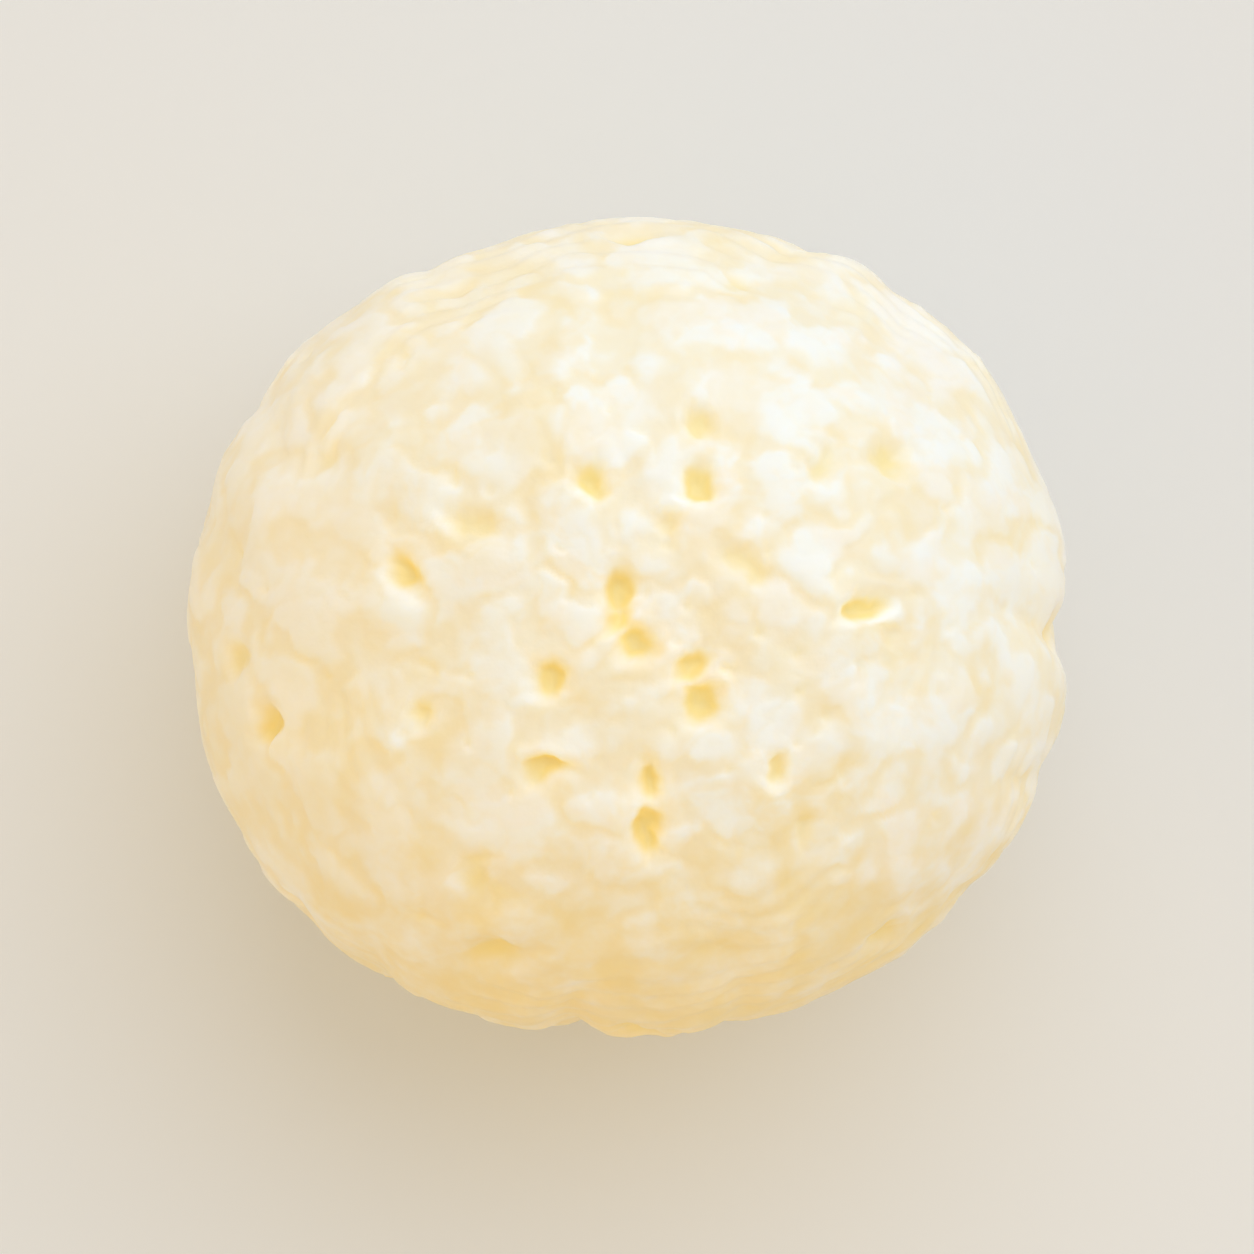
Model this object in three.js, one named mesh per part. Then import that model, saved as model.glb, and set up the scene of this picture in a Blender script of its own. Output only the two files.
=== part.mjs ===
// A puffed cereal ball: one airy corn puff, lying with its pitted face up.
//
// Millimetres, +Z up. The origin is the middle of the small flat spot that the puff rests on.
//
// The puff is one closed solid. It starts as a round cushion with two broad faces, up and down,
// and a full rounded side. Its surface is then pushed in and out along the line from its centre:
//   lobes    a few broad bulges and flats of its side
//   swell    slow unevenness all over, because no puff is a true ball
//   dapple   the low lumps of the bubbles under the skin
//   girdle   the groove round its waist, where the two puffed halves meet
//   shoulder a fainter groove beside the girdle, which goes only part of the way round
//   creases  folds that cross the side from face to face and split it into soft lobes
//   pits     burst bubbles, mostly on the upper face, some of them drawn out into slits
// All of it fades out towards the flat spot, so that the puff rests on an unbroken face.

import * as THREE from 'three';
import { mergeVertices } from 'three/addons/utils/BufferGeometryUtils.js';

// ---- driving dimensions, over everything ----

const LENGTH = 13.3; // along X
const WIDTH = 12.4; // along Y
const HEIGHT = 10.6; // along Z, from the flat spot to the top
const PRESSED_FLAT = 0.11; // how much of the round underside the flat spot takes off
const FULLNESS = 2.3; // 2 is an ellipsoid, more flattens both faces and fills the shoulders
const PLAN_FULLNESS = 2.1; // the same for the outline seen from above, where 2 is an ellipse

// ---- lobes, swell and dapple ----

// Broad bulges and flats of the side. Turn and spread are in degrees, and lift is how far out.
const LOBES = [
	{ turn: 72, lift: 0.18, spread: 35 },
	{ turn: 203, lift: - 0.10, spread: 18 },
	{ turn: 318, lift: - 0.28, spread: 26 }
];
// Swell and dapple are each a few waves that run through the puff in different directions. Height
// is that of one wave, pitch is from crest to crest, and each wave starts one step later, in
// radians.
const SWELL = { waves: 5, height: 0.04, pitch: 9, step: 2.6 };
const DAPPLE = { waves: 9, height: 0.012, pitch: 1.9, step: 1.7 };

// ---- girdle and shoulder grooves ----

const FOLD_SHARPNESS = 1.6; // of grooves and creases: 1 is a sharp V, 2 a round valley

const GIRDLE_DEPTH = 0.36;
const GIRDLE_WIDTH = 0.9; // from the middle of the groove to where it has faded
const GIRDLE_LEAN = new THREE.Vector3( 0.03, 0.02, 1 ).normalize(); // square to its plane
const GIRDLE_DROP = 0.5; // of its middle, below the middle of the puff
// It wanders up and down in this many bends round the waist, and start is in radians
const GIRDLE_BENDS = { count: 3, height: 0.22, start: 0.8 };
const GIRDLE_WEAK_SIDE = new THREE.Vector3( - 0.35, - 0.94, 0 );
const GIRDLE_WEAKEST = 0.5; // share of its depth on that side
const SHOULDER_DEPTH = 0.10;
const SHOULDER_WIDTH = 0.7;
const SHOULDER_RISE = 3.3; // above the girdle
const SHOULDER_SIDE = new THREE.Vector3( 0.5, 0.86, 0 );
const SHOULDER_FULL = 0.7; // as far as this towards that side, it has its full depth

// ---- creases ----

// Each deep one nicks the outline. Turn is in degrees from +X, towards +Y. Side is 1 for a crease
// above the girdle, - 1 for one below it, and 0 for one that crosses it. On the face is the share
// of its depth that is left where it has run off the side onto a face.
const DEEP_CREASES = [
	{ turn: 3, side: 0, depth: 0.18, width: 0.38, onFace: 0 },
	{ turn: 66, side: 1, depth: 0.12, width: 0.36, onFace: 0.1 },
	{ turn: 98, side: - 1, depth: 0.20, width: 0.45, onFace: 0 },
	{ turn: 150, side: 1, depth: 0.14, width: 0.38, onFace: 0.1 },
	{ turn: 183, side: - 1, depth: 0.18, width: 0.40, onFace: 0 },
	{ turn: 232, side: 1, depth: 0.12, width: 0.40, onFace: 0.1 },
	{ turn: 264, side: 0, depth: 0.20, width: 0.36, onFace: 0 },
	{ turn: 285, side: 1, depth: 0.10, width: 0.30, onFace: 0.8 },
	{ turn: 322, side: - 1, depth: 0.22, width: 0.45, onFace: 0 },
	{ turn: 342, side: 1, depth: 0.12, width: 0.34, onFace: 0.1 }
];
const FINE_CREASES = 14; // all round, at uneven turns, above and below the girdle by turns
const FINE_CREASE_STRAY = 0.7; // from its even place, as a share of the step to the next one
const FINE_CREASE_DEPTHS = [ 0.05, 0.13 ];
const FINE_CREASE_WIDTH = 0.34;
const FINE_CREASE_ON_FACE = 0.1;
const CREASE_MEANDER = 0.30; // how far a crease strays to each side
const CREASE_MEANDER_PITCH = 5.5; // up the side, from one bend to the next but one
const CREASE_MEANDER_STEP = 2; // each crease bends this much later than the last, in radians
// Where a crease starts, runs onto the side and has its full depth, as shares of the way from the
// middle of a face to its rim
const CREASE_STARTS = 0.25;
const CREASE_REACHES_SIDE = 0.78;
const CREASE_FULL = 0.98;
const CREASE_CROSSES = 0.5; // how far past the girdle a crease of one side fades out

// ---- pits ----

// Places on the upper face, with x and y from the middle. Turn is that of the long side.
const FACE_PITS = [
	{ x: 1.08, y: 3.20, long: 0.48, wide: 0.36, turn: 90, depth: 0.14 },
	{ x: 1.10, y: 2.30, long: 0.56, wide: 0.50, turn: 80, depth: 0.24 },
	{ x: - 0.50, y: 2.38, long: 0.60, wide: 0.40, turn: 95, depth: 0.20 },
	{ x: 2.90, y: 2.58, long: 0.80, wide: 0.38, turn: 80, depth: 0.11 },
	{ x: 0.62, y: 1.62, long: 0.50, wide: 0.34, turn: 55, depth: 0.09 },
	{ x: - 3.25, y: 0.92, long: 0.65, wide: 0.42, turn: 130, depth: 0.22 },
	{ x: - 2.20, y: 1.60, long: 0.90, wide: 0.42, turn: 148, depth: 0.11 },
	{ x: - 0.03, y: 0.72, long: 0.62, wide: 0.48, turn: 90, depth: 0.26 },
	{ x: - 0.10, y: 0.22, long: 0.52, wide: 0.40, turn: 95, depth: 0.20 },
	{ x: 0.15, y: - 0.18, long: 0.52, wide: 0.44, turn: 30, depth: 0.24 },
	{ x: 1.80, y: 1.05, long: 0.95, wide: 0.44, turn: 140, depth: 0.12 },
	{ x: 3.50, y: 0.44, long: 0.74, wide: 0.38, turn: 12, depth: 0.22 },
	{ x: - 1.12, y: - 0.70, long: 0.62, wide: 0.46, turn: 27, depth: 0.22 },
	{ x: 1.06, y: - 0.50, long: 0.56, wide: 0.42, turn: 60, depth: 0.22 },
	{ x: 1.12, y: - 1.07, long: 0.60, wide: 0.52, turn: 0, depth: 0.26 },
	{ x: - 3.02, y: - 1.20, long: 0.42, wide: 0.38, turn: 60, depth: 0.14 },
	{ x: - 1.18, y: - 2.03, long: 0.64, wide: 0.42, turn: 0, depth: 0.22 },
	{ x: 0.33, y: - 2.18, long: 0.58, wide: 0.36, turn: 90, depth: 0.20 },
	{ x: 0.33, y: - 2.98, long: 0.72, wide: 0.42, turn: 90, depth: 0.28 },
	{ x: 2.20, y: - 2.00, long: 0.46, wide: 0.40, turn: 40, depth: 0.15 },
	{ x: 2.70, y: - 2.95, long: 0.75, wide: 0.36, turn: 85, depth: 0.09 },
	{ x: - 5.40, y: - 1.45, long: 0.76, wide: 0.42, turn: 62, depth: 0.20 },
	{ x: - 1.82, y: - 3.85, long: 0.70, wide: 0.62, turn: 0, depth: 0.09 }
];
// Spread evenly all over, of which those on the upper face are left out
const SCATTERED_PITS = 34;
const SCATTERED_PIT_STRAY = 0.5; // from its even place, as a share of the step to the next one
const SCATTERED_PIT_WIDTHS = [ 0.46, 0.68 ];
const SCATTERED_PIT_DEPTHS = [ 0.08, 0.16 ];
const SCATTERED_PIT_STRETCHES = [ 1, 1.7 ]; // of a pit's length over its width
const UPPER_FACE = 0.72; // a direction from the centre with z above this is on the upper face
const PIT_LIP = 0.10; // height of the skin turned up round a pit, as a share of its depth
const PIT_LIP_REACH = 1.7; // from the pit's middle to the top of its lip, in half-widths
const PIT_LIP_WIDTH = 0.5;
const PIT_STEEPNESS = 3; // 2 is a round dimple, more has steeper walls and a flatter floor

// ---- mesh ----

const MESH_DETAIL = 22; // each face of an icosahedron is split into (detail + 1) squared
const CROWDING = 0.62; // edges at the pitted top are this much of their even length
// Round the flat spot, at unit radius: where the relief starts and where it has its full depth
const RELIEF_STARTS = 0.25;
const RELIEF_FULL = 0.55;

const MEAN_RADIUS = ( LENGTH + WIDTH + HEIGHT ) / 6;
const GOLDEN_ANGLE = Math.PI * ( 3 - Math.sqrt( 5 ) );
// Where each draw of uneven numbers starts
const DRAWS = { creaseDepth: 40, pitWidth: 80, pitTurn: 120, pitStretch: 160, pitDepth: 200 };
const { degToRad, smoothstep, euclideanModulo, lerp } = THREE.MathUtils;

// A repeatable uneven number from 0 to 1 for each whole number.
function uneven( index ) {

	return euclideanModulo( Math.sin( index * 12.9898 + 4.1414 ) * 43758.5453, 1 );

}

function unevenBetween( limits, index ) {

	return lerp( limits[ 0 ], limits[ 1 ], uneven( index ) );

}

// 1 in the middle of a fold, falling to nearly 0 at twice its half-width.
function foldProfile( distance, halfWidth ) {

	return Math.exp( - Math.pow( Math.abs( distance / halfWidth ), FOLD_SHARPNESS ) );

}

// Evenly spread points over a ball.
function spiralDirection( index, count ) {

	const z = 1 - ( 2 * index + 1 ) / count;
	const across = Math.sqrt( 1 - z * z );
	const turn = index * GOLDEN_ANGLE;
	return new THREE.Vector3( across * Math.cos( turn ), across * Math.sin( turn ), z );

}

// 0 in the middle of the plan and 1 on its outline.
function reachAcross( x, y ) {

	const alongX = Math.abs( x / ( LENGTH / 2 ) ) ** PLAN_FULLNESS;
	const alongY = Math.abs( y / ( WIDTH / 2 ) ) ** PLAN_FULLNESS;
	return ( alongX + alongY ) ** ( 1 / PLAN_FULLNESS );

}

function cushionRadius( direction ) {

	const across = reachAcross( direction.x, direction.y );
	const upright = Math.abs( direction.z ) / ( HEIGHT / 2 );
	return Math.pow( across ** FULLNESS + upright ** FULLNESS, - 1 / FULLNESS );

}

// A lobe's height falls off with the turn from its middle, as a smooth bell.
function lobeHeight( direction, { turn, lift, spread } ) {

	const middle = new THREE.Vector3( Math.cos( degToRad( turn ) ), Math.sin( degToRad( turn ) ), 0 );
	return lift * Math.exp( 2 * ( direction.dot( middle ) - 1 ) / degToRad( spread ) ** 2 );

}

function waveHeight( direction, { waves, height, pitch, step } ) {

	const turns = 2 * Math.PI * MEAN_RADIUS / pitch;
	let sum = 0;
	for ( let index = 0; index < waves; index ++ ) {

		const wayAlong = spiralDirection( index, waves );
		sum += Math.sin( turns * direction.dot( wayAlong ) + step * index );

	}

	return height * sum;

}

// How far a point is above the middle of the girdle.
function aboveGirdle( direction, radius ) {

	const turn = Math.atan2( direction.y, direction.x );
	const bend = Math.sin( GIRDLE_BENDS.count * turn + GIRDLE_BENDS.start );
	return radius * direction.dot( GIRDLE_LEAN ) + GIRDLE_DROP - GIRDLE_BENDS.height * bend;

}

function girdleDepth( direction, radius ) {

	const towardsWeakSide = 0.5 + 0.5 * direction.dot( GIRDLE_WEAK_SIDE );
	const share = lerp( 1, GIRDLE_WEAKEST, towardsWeakSide );
	return GIRDLE_DEPTH * share * foldProfile( aboveGirdle( direction, radius ), GIRDLE_WIDTH );

}

function shoulderDepth( direction, radius ) {

	const above = aboveGirdle( direction, radius ) - SHOULDER_RISE;
	const share = smoothstep( direction.dot( SHOULDER_SIDE ), 0, SHOULDER_FULL );
	return SHOULDER_DEPTH * share * foldProfile( above, SHOULDER_WIDTH );

}

// A crease runs from face to face in an upright plane through the centre, with slow bends.
function creaseDepth( direction, radius, crease, index ) {

	const turn = degToRad( crease.turn );
	const outward = direction.x * Math.cos( turn ) + direction.y * Math.sin( turn );
	const wayUp = 2 * Math.PI * radius * direction.z / CREASE_MEANDER_PITCH;
	const bend = Math.sin( wayUp + CREASE_MEANDER_STEP * index );
	const aside = direction.y * Math.cos( turn ) - direction.x * Math.sin( turn );
	const distance = radius * aside + CREASE_MEANDER * bend;
	const onFace = crease.onFace * smoothstep( outward, CREASE_STARTS, CREASE_REACHES_SIDE );
	const onSide = lerp( onFace, 1, smoothstep( outward, CREASE_REACHES_SIDE, CREASE_FULL ) );
	const above = crease.side * aboveGirdle( direction, radius );
	const ownSide = crease.side === 0 ? 1 : smoothstep( above, - CREASE_CROSSES, CREASE_CROSSES );
	return crease.depth * onSide * ownSide * foldProfile( distance, crease.width );

}

function listCreases() {

	const creases = [ ...DEEP_CREASES ];
	for ( let index = 0; index < FINE_CREASES; index ++ ) {

		creases.push( {
			turn: 360 * ( index + FINE_CREASE_STRAY * uneven( index ) ) / FINE_CREASES,
			side: index % 2 === 0 ? 1 : - 1,
			depth: unevenBetween( FINE_CREASE_DEPTHS, DRAWS.creaseDepth + index ),
			width: FINE_CREASE_WIDTH,
			onFace: FINE_CREASE_ON_FACE
		} );

	}

	return creases;

}

// Each pit has its own middle on the cushion, and three directions there: out of the skin, and
// along and across the pit's length, which are scaled to reach 1 at the pit's rim.
function placePit( middle, turn, { long, wide, depth } ) {

	const outward = middle.clone().normalize();
	const east = new THREE.Vector3( 1, 0, 0 ).addScaledVector( outward, - outward.x ).normalize();
	const lengthwise = east.applyAxisAngle( outward, turn );
	const sideways = new THREE.Vector3().crossVectors( outward, lengthwise );
	lengthwise.multiplyScalar( 2 / long );
	sideways.multiplyScalar( 2 / wide );
	return { middle, outward, lengthwise, sideways, depth };

}

function listPits() {

	const pits = [];
	for ( const pit of FACE_PITS ) {

		const across = reachAcross( pit.x, pit.y );
		const z = HEIGHT / 2 * Math.pow( 1 - across ** FULLNESS, 1 / FULLNESS );
		pits.push( placePit( new THREE.Vector3( pit.x, pit.y, z ), degToRad( pit.turn ), pit ) );

	}

	for ( let index = 0; index < SCATTERED_PITS; index ++ ) {

		const place = index + SCATTERED_PIT_STRAY * uneven( index );
		const direction = spiralDirection( place, SCATTERED_PITS );
		if ( direction.z > UPPER_FACE ) continue;
		const middle = direction.clone().multiplyScalar( cushionRadius( direction ) );
		const wide = unevenBetween( SCATTERED_PIT_WIDTHS, DRAWS.pitWidth + index );
		const stretch = unevenBetween( SCATTERED_PIT_STRETCHES, DRAWS.pitStretch + index );
		const depth = unevenBetween( SCATTERED_PIT_DEPTHS, DRAWS.pitDepth + index );
		const turn = Math.PI * uneven( DRAWS.pitTurn + index );
		pits.push( placePit( middle, turn, { long: wide * stretch, wide, depth } ) );

	}

	return pits;

}

function pitDepth( direction, radius, pit ) {

	const offset = direction.clone().multiplyScalar( radius ).sub( pit.middle );
	const along = offset.dot( pit.lengthwise );
	const beside = offset.dot( pit.sideways );
	const distance = Math.hypot( along, beside, offset.dot( pit.outward ) );
	const hole = Math.exp( - Math.pow( distance, PIT_STEEPNESS ) );
	const lip = Math.exp( - Math.pow( ( distance - PIT_LIP_REACH ) / PIT_LIP_WIDTH, 2 ) );
	return pit.depth * ( hole - PIT_LIP * lip );

}

// Slides directions towards +Z without changing the shape of small triangles.
function crowdUp( direction ) {

	const fromBottom = 1 + direction.z;
	const fromTop = CROWDING ** 2 * ( 1 - direction.z );
	const x = 2 * CROWDING * direction.x;
	const y = 2 * CROWDING * direction.y;
	return new THREE.Vector3( x, y, fromBottom - fromTop ).divideScalar( fromBottom + fromTop );

}

// Scales a run of numbers in place, so that it goes from low to high.
function fitRange( positions, axis, low, high ) {

	let least = Infinity;
	let most = - Infinity;
	for ( let i = 0; i < positions.count; i ++ ) {

		least = Math.min( least, positions.getComponent( i, axis ) );
		most = Math.max( most, positions.getComponent( i, axis ) );

	}

	for ( let i = 0; i < positions.count; i ++ ) {

		const share = ( positions.getComponent( i, axis ) - least ) / ( most - least );
		positions.setComponent( i, axis, lerp( low, high, share ) );

	}

}

function puffGeometry() {

	const creases = listCreases();
	const pits = listPits();
	const ball = new THREE.IcosahedronGeometry( 1, MESH_DETAIL );
	ball.deleteAttribute( 'normal' );
	ball.deleteAttribute( 'uv' );
	const geometry = mergeVertices( ball );
	const positions = geometry.getAttribute( 'position' );

	for ( let i = 0; i < positions.count; i ++ ) {

		const direction = crowdUp( new THREE.Vector3().fromBufferAttribute( positions, i ) );
		const fromFoot = Math.hypot( direction.x, direction.y );
		const relief = direction.z > 0 ? 1 : smoothstep( fromFoot, RELIEF_STARTS, RELIEF_FULL );
		const radius = cushionRadius( direction );
		let depth = girdleDepth( direction, radius ) + shoulderDepth( direction, radius );
		depth -= waveHeight( direction, SWELL ) + waveHeight( direction, DAPPLE );
		for ( const lobe of LOBES ) depth -= lobeHeight( direction, lobe );
		creases.forEach( ( crease, index ) => {

			depth += creaseDepth( direction, radius, crease, index );

		} );
		for ( const pit of pits ) depth += pitDepth( direction, radius, pit );
		direction.multiplyScalar( radius - relief * depth );
		positions.setXYZ( i, direction.x, direction.y, direction.z );

	}

	fitRange( positions, 0, - LENGTH / 2, LENGTH / 2 );
	fitRange( positions, 1, - WIDTH / 2, WIDTH / 2 );
	fitRange( positions, 2, - PRESSED_FLAT, HEIGHT );
	for ( let i = 0; i < positions.count; i ++ ) {

		positions.setZ( i, Math.max( 0, positions.getZ( i ) ) );

	}

	geometry.computeVertexNormals();
	return geometry;

}

const puffedCorn = new THREE.MeshStandardMaterial( {
	color: '#f6e6bd',
	roughness: 0.5,
	metalness: 0
} );

const puff = new THREE.Mesh( puffGeometry(), puffedCorn );
puff.name = 'puff';

const model = new THREE.Group();
model.add( puff );

export default model;
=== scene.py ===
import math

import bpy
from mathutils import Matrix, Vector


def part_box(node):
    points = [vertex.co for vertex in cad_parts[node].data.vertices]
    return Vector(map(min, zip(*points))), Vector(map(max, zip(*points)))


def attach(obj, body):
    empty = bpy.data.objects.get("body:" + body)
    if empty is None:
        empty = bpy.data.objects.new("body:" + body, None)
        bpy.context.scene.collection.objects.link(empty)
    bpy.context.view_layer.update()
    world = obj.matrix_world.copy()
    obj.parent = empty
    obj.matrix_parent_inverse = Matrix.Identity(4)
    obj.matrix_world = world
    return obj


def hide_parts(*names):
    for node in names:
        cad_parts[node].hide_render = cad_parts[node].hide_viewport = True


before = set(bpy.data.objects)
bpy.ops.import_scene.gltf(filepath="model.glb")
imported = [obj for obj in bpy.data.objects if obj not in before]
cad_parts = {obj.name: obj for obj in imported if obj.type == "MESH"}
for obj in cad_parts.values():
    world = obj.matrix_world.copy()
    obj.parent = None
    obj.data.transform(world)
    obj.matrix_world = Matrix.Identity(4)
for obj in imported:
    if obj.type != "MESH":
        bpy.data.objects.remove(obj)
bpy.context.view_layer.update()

# A puffed cereal ball, lying with its pitted face up on a pale floor.
#
# The ball is grown by one Geometry Nodes tree from its marks, loose points that say where its waves,
# lobes, creases, pits and ridges are. The tree works in millimetres, with the ball's centre at the
# origin, and only its last steps fit it to the solid's box and turn millimetres into metres.

MM = 0.001

# ---- the ball's form, in millimetres, as in the solid that it replaces ----

LOW, HIGH = (Vector(corner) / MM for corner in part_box("puff"))
LENGTH, WIDTH, HEIGHT = HIGH - LOW
PRESSED_FLAT = 0.11  # how much of the round underside the flat spot takes off
FULLNESS = 2.3  # 2 is an ellipsoid, more flattens both faces and fills the shoulders
PLAN_FULLNESS = 2.1  # the same for the outline seen from above

# Broad bulges and flats of the side: turn and spread in degrees, and how far out
LOBES = ((72, 35, 0.18), (203, 18, -0.10), (318, 26, -0.28))
# Waves that run through the ball in different directions: how many, height of each, pitch, and how
# much later each one starts, in radians
SWELL = (5, 0.04, 9, 2.6)
DAPPLE = (9, 0.012, 1.9, 1.7)

FOLD_SHARPNESS = 1.6  # of grooves and creases: 1 is a sharp V, 2 a round valley
GIRDLE_DEPTH = 0.36
GIRDLE_WIDTH = 0.9
GIRDLE_LEAN = Vector((0.03, 0.02, 1)).normalized()  # square to its plane
GIRDLE_DROP = 0.5  # of its middle, below the middle of the ball
# It wanders up and down: bends round the waist, height in millimetres, start in radians
GIRDLE_BENDS, GIRDLE_BEND_HEIGHT, GIRDLE_BEND_START = 3, 0.22, 0.8
GIRDLE_WEAK_SIDE = Vector((-0.35, -0.94, 0))
GIRDLE_WEAKEST = 0.5  # share of its depth on that side
SHOULDER_DEPTH = 0.10
SHOULDER_WIDTH = 0.7
SHOULDER_RISE = 3.3  # above the girdle
SHOULDER_SIDE = Vector((0.5, 0.86, 0))
SHOULDER_FULL = 0.7  # as far as this towards that side, it has its full depth

# Turn in degrees, side of the girdle (0 crosses it), depth, width, share of its depth on a face
DEEP_CREASES = (
    (3, 0, 0.18, 0.38, 0.0),
    (66, 1, 0.12, 0.36, 0.1),
    (98, -1, 0.20, 0.45, 0.0),
    (150, 1, 0.14, 0.38, 0.1),
    (183, -1, 0.18, 0.40, 0.0),
    (232, 1, 0.12, 0.40, 0.1),
    (264, 0, 0.20, 0.36, 0.0),
    (285, 1, 0.10, 0.30, 0.8),
    (322, -1, 0.22, 0.45, 0.0),
    (342, 1, 0.12, 0.34, 0.1),
)
FINE_CREASES = 14
FINE_CREASE_STRAY = 0.7  # from its even place, as a share of the step to the next one
FINE_CREASE_DEPTHS = (0.05, 0.13)
FINE_CREASE_WIDTH = 0.34
FINE_CREASE_ON_FACE = 0.1
CREASE_MEANDER = 0.30
CREASE_MEANDER_PITCH = 5.5
CREASE_MEANDER_STEP = 2
CREASE_STARTS = 0.25  # these three are shares of the way from a face's middle to its rim
CREASE_REACHES_SIDE = 0.78
CREASE_FULL = 0.98
CREASE_CROSSES = 0.5  # how far past the girdle a crease of one side fades out

# X and y on the upper face, length, width, turn in degrees, depth
FACE_PITS = (
    (1.08, 3.20, 0.48, 0.36, 90, 0.14),
    (1.10, 2.30, 0.56, 0.50, 80, 0.24),
    (-0.50, 2.38, 0.60, 0.40, 95, 0.20),
    (2.90, 2.58, 0.80, 0.38, 80, 0.11),
    (0.62, 1.62, 0.50, 0.34, 55, 0.09),
    (-3.25, 0.92, 0.65, 0.42, 130, 0.22),
    (-2.20, 1.60, 0.90, 0.42, 148, 0.11),
    (-0.03, 0.72, 0.62, 0.48, 90, 0.26),
    (-0.10, 0.22, 0.52, 0.40, 95, 0.20),
    (0.15, -0.18, 0.52, 0.44, 30, 0.24),
    (1.80, 1.05, 0.95, 0.44, 140, 0.12),
    (3.50, 0.44, 0.74, 0.38, 12, 0.22),
    (-1.12, -0.70, 0.62, 0.46, 27, 0.22),
    (1.06, -0.50, 0.56, 0.42, 60, 0.22),
    (1.12, -1.07, 0.60, 0.52, 0, 0.26),
    (-3.02, -1.20, 0.42, 0.38, 60, 0.14),
    (-1.18, -2.03, 0.64, 0.42, 0, 0.22),
    (0.33, -2.18, 0.58, 0.36, 90, 0.20),
    (0.33, -2.98, 0.72, 0.42, 90, 0.28),
    (2.20, -2.00, 0.46, 0.40, 40, 0.15),
    (2.70, -2.95, 0.75, 0.36, 85, 0.09),
    (-5.40, -1.45, 0.76, 0.42, 62, 0.20),
    (-1.82, -3.85, 0.70, 0.62, 0, 0.09),
)
SCATTERED_PITS = 34
SCATTERED_PIT_STRAY = 0.5
SCATTERED_PIT_WIDTHS = (0.46, 0.68)
SCATTERED_PIT_DEPTHS = (0.08, 0.16)
SCATTERED_PIT_STRETCHES = (1, 1.7)
UPPER_FACE = 0.72  # a direction from the centre with z above this is on the upper face
PIT_LIP = 0.10  # height of the skin turned up round a pit, as a share of its depth
PIT_LIP_REACH = 1.7  # of its crest from the pit's middle, in half-widths of the pit
PIT_LIP_WIDTH = 0.5  # half of it, in half-widths of the pit
PIT_STEEPNESS = 3  # of its sides: 2 is a soft bowl, and more is steeper

RELIEF_STARTS = 0.25  # round the flat spot, at unit radius
RELIEF_FULL = 0.55

# ---- finer than the solid ----

NOISE_MIDDLE = 0.5
# How many finer layers a noise has over its coarsest one
SOFT_NOISE, UNEVEN_NOISE, BUSY_NOISE = 1, 2, 3
BUSY_SHARE = 0.6  # strength of each layer of busy noise, as a share of the one before
GRID = 127  # squares along each edge of the blank, which is a cube
CROWDING = 0.75  # squares at the pitted top are this much of their even size
FACE_THROAT = 0.08  # how much deeper a pit's narrow throat is, as a share of the pit's own depth
SCATTERED_THROAT = 0.1
THROAT_REACH = 1.0  # in half-widths of the pit
PIT_RAGGEDNESS = 0.5  # how far a rim strays, at most, to both sides together
PIT_RAG_PITCH = 0.55
# The relief of the pitted face starts to grow and is full where a direction from the centre has this z
FACE_STARTS, FACE_FULL = 0.1, 0.85
BLISTER_HEIGHT = 0.05
BLISTER_PITCH = 0.75
BLISTER_SOFTNESS = 0.35
BLISTER_ON_SIDE = 0.35  # share of their height on the side of the ball
CRUMPLE_DEPTHS = ((1.3, 0.036), (0.65, 0.016))  # pitch and depth of each set of fine folds
CRUMPLE_WIDTH = 0.13  # how far from its middle value the noise is at the edge of a fold
CRUMPLE_ON_SIDE = 0.9  # share of their depth on the side of the ball
WRINKLE_HEIGHT = 0.022
WRINKLE_PITCH = 0.46
WRINKLE_WARP = 2.2  # how far the wrinkles bend out of true
WRINKLE_WARP_PITCH = 2.6
WRINKLE_PATCH_PITCH = 3.4
WRINKLE_PATCH_SHIFT = Vector((30.6, 0, 0))  # so that the patches and the bends differ
WRINKLE_PATCH_STARTS, WRINKLE_PATCH_FULL = 0.48, 0.62  # where the noise of the patches has this value
WRINKLE_STARTS, WRINKLE_FULL = 0.88, 0.66  # z of a direction, from the face down to the side
# Thin bubble walls that stand up, with a painted white highlight along each: x and y on the upper face,
# length, width, turn in degrees, height
RIDGES = (
    (1.20, -1.90, 2.30, 0.50, 158, 0.06),
    (0.55, -1.35, 1.30, 0.80, 120, 0.04),
    (2.25, -0.50, 1.70, 0.50, 123, 0.05),
    (4.90, 0.10, 1.60, 1.00, 80, 0.03),
    (3.30, -1.55, 1.60, 0.44, 168, 0.05),
    (-3.25, -1.70, 1.30, 0.42, 135, 0.05),
    (-3.20, 0.30, 1.20, 0.40, 162, 0.05),
    (-2.00, 2.30, 1.10, 0.95, 20, 0.05),
    (-3.60, 2.70, 1.50, 0.38, 57, 0.04),
    (0.85, 3.70, 0.80, 0.60, 70, 0.05),
    (-0.60, 0.45, 0.90, 0.40, 85, 0.05),
    (2.20, 3.00, 1.50, 0.55, 110, 0.05),
    (3.60, 2.20, 1.60, 0.60, 80, 0.04),
    (0.20, 2.55, 0.90, 0.45, 100, 0.05),
    (-1.70, 0.30, 1.00, 0.50, 40, 0.04),
    (2.75, 0.95, 1.30, 0.50, 150, 0.04),
)
PORE_SPACING = 0.5  # at least, from pore to pore
PORE_DENSITY = 1.2  # for each square millimetre
PORES_THICKEN, PORES_THICKEST = 0.55, 0.95  # z of a direction
PORES_ON_SIDE = 0.25  # share of their number
PORE_DEPTH = 0.06
PORE_WIDTH = 0.14
PORE_NARROWEST = 0.55  # share of that width
PORE_GLOW = 0.08  # painted golden glow, as yellow as a pit of this depth
SEED = 7

# ---- the skin's colours and finish, with lengths in millimetres ----

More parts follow.
